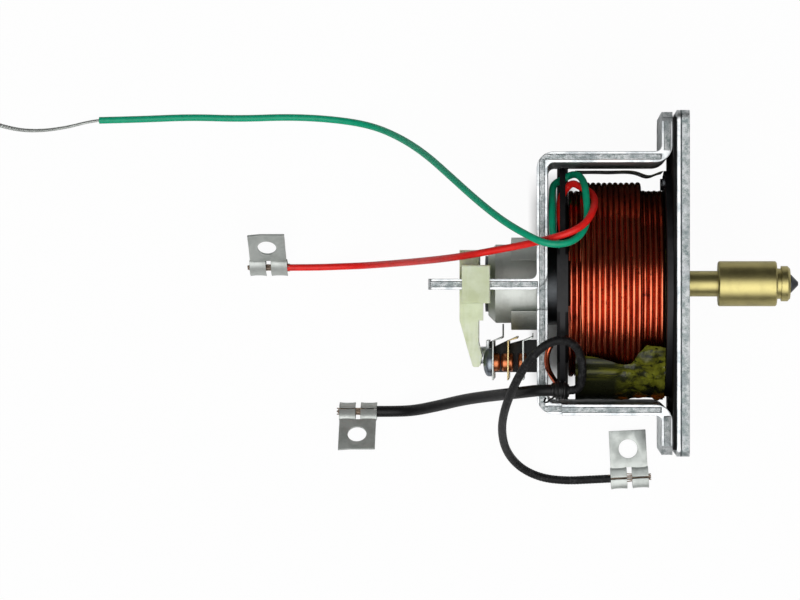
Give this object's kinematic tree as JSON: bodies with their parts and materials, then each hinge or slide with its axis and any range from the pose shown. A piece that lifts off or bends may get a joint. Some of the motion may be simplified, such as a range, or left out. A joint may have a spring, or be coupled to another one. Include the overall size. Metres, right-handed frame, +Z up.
{
  "type": "starter solenoid",
  "caption": "Engaging solenoid of a coaxial starter: yoke and coil on a steel plate, brass push rod, nylon trip slider, contact stack and loose leads with flag terminals.",
  "frame": {"origin": "centre of the mounting plate's front face, on the push rod's axis", "axes": "+X the way the push rod moves, +Y across the yoke towards its upper wall in the picture, +Z up as the solenoid lies on its side"},
  "size_m": [0.2735, 0.128, 0.0797],
  "materials": {
    "plated_steel": "bright zinc plate",
    "sheared_steel": "zinc plate with sheared edges",
    "machined_steel": "turned, satin",
    "dark_steel": "polished, blackened",
    "spring_steel": "bright",
    "brass": "turned",
    "leaf_brass": "rolled",
    "contact_copper": "bright copper",
    "enamelled_copper": "enamelled",
    "tinned_sheet": "dull tin",
    "bobbin_black": "moulded, matte",
    "board_black": "pressed board",
    "gasket_black": "pressed sheet",
    "green_nylon": "moulded, translucent",
    "button_grey": "moulded",
    "olive_film": "varnished film",
    "paper": "insulating paper",
    "green_insulation": "smooth",
    "red_insulation": "smooth",
    "black_insulation": "smooth",
    "black_braid": "braided, varnished",
    "bare_strand": "tinned wire"
  },
  "bodies": {
    "frame": {"mounting_plate": "sheared_steel", "plate_gasket": "gasket_black", "plate_rivets": "plated_steel", "yoke_frame": "plated_steel", "rear_collar": "machined_steel", "guide_sleeve": "brass", "pole_core": "machined_steel", "coil_bobbin": "bobbin_black", "hold_in_winding": "enamelled_copper", "layer_insulation": "paper", "pull_in_winding": "enamelled_copper", "winding_film": "olive_film", "contact_base": "board_black", "fixed_leaf": "leaf_brass", "middle_leaf": "leaf_brass", "moving_leaf": "tinned_sheet", "contact_spacers": "board_black", "clamp_plate": "plated_steel", "clamp_screws": "plated_steel", "fixed_contact": "contact_copper", "lead_sleeve": "black_insulation", "coil_lead_out": "enamelled_copper", "green_lead": "green_insulation", "green_strand": "bare_strand", "red_lead": "red_insulation", "black_lead": "black_insulation", "braided_lead": "black_braid", "red_terminal": "tinned_sheet", "black_terminal": "tinned_sheet", "braided_terminal": "tinned_sheet"},
    "plunger_group": {"plunger": "machined_steel", "push_rod": "brass", "rod_tip": "dark_steel", "cross_pin": "spring_steel", "end_washer": "spring_steel", "return_spring": "spring_steel"},
    "slider": {"trip_slider": "green_nylon", "trip_spring": "spring_steel"},
    "moving_contact_group": {"moving_contact": "contact_copper", "contact_button": "button_grey"},
    "middle_contact_group": {"middle_contacts": "contact_copper"}
  },
  "joints": [
    {"name": "plunger_slide", "type": "slide", "parent": "frame", "child": "plunger_group", "axis": [1, 0, 0], "range_m": [0, 0.008], "stiffness_N_per_m": 300, "springref_m": -0.01, "deforming": ["return_spring"]},
    {"name": "trip_slide", "type": "slide", "parent": "frame", "child": "slider", "axis": [1, 0, 0], "range_m": [0, 0.002], "deforming": ["trip_spring"]},
    {"name": "moving_contact_slide", "type": "slide", "parent": "frame", "child": "moving_contact_group", "axis": [1, 0, 0], "range_m": [0, 0.002], "deforming": ["moving_leaf"]},
    {"name": "middle_contact_slide", "type": "slide", "parent": "frame", "child": "middle_contact_group", "axis": [1, 0, 0], "range_m": [0, 0.0016], "deforming": ["middle_leaf"]}
  ],
  "couplings": [
    {"joint": "trip_slide", "follows": "plunger_slide", "ratio": 0.25},
    {"joint": "moving_contact_slide", "follows": "plunger_slide", "ratio": 0.25},
    {"joint": "middle_contact_slide", "follows": "plunger_slide", "ratio": 0.2}
  ]
}
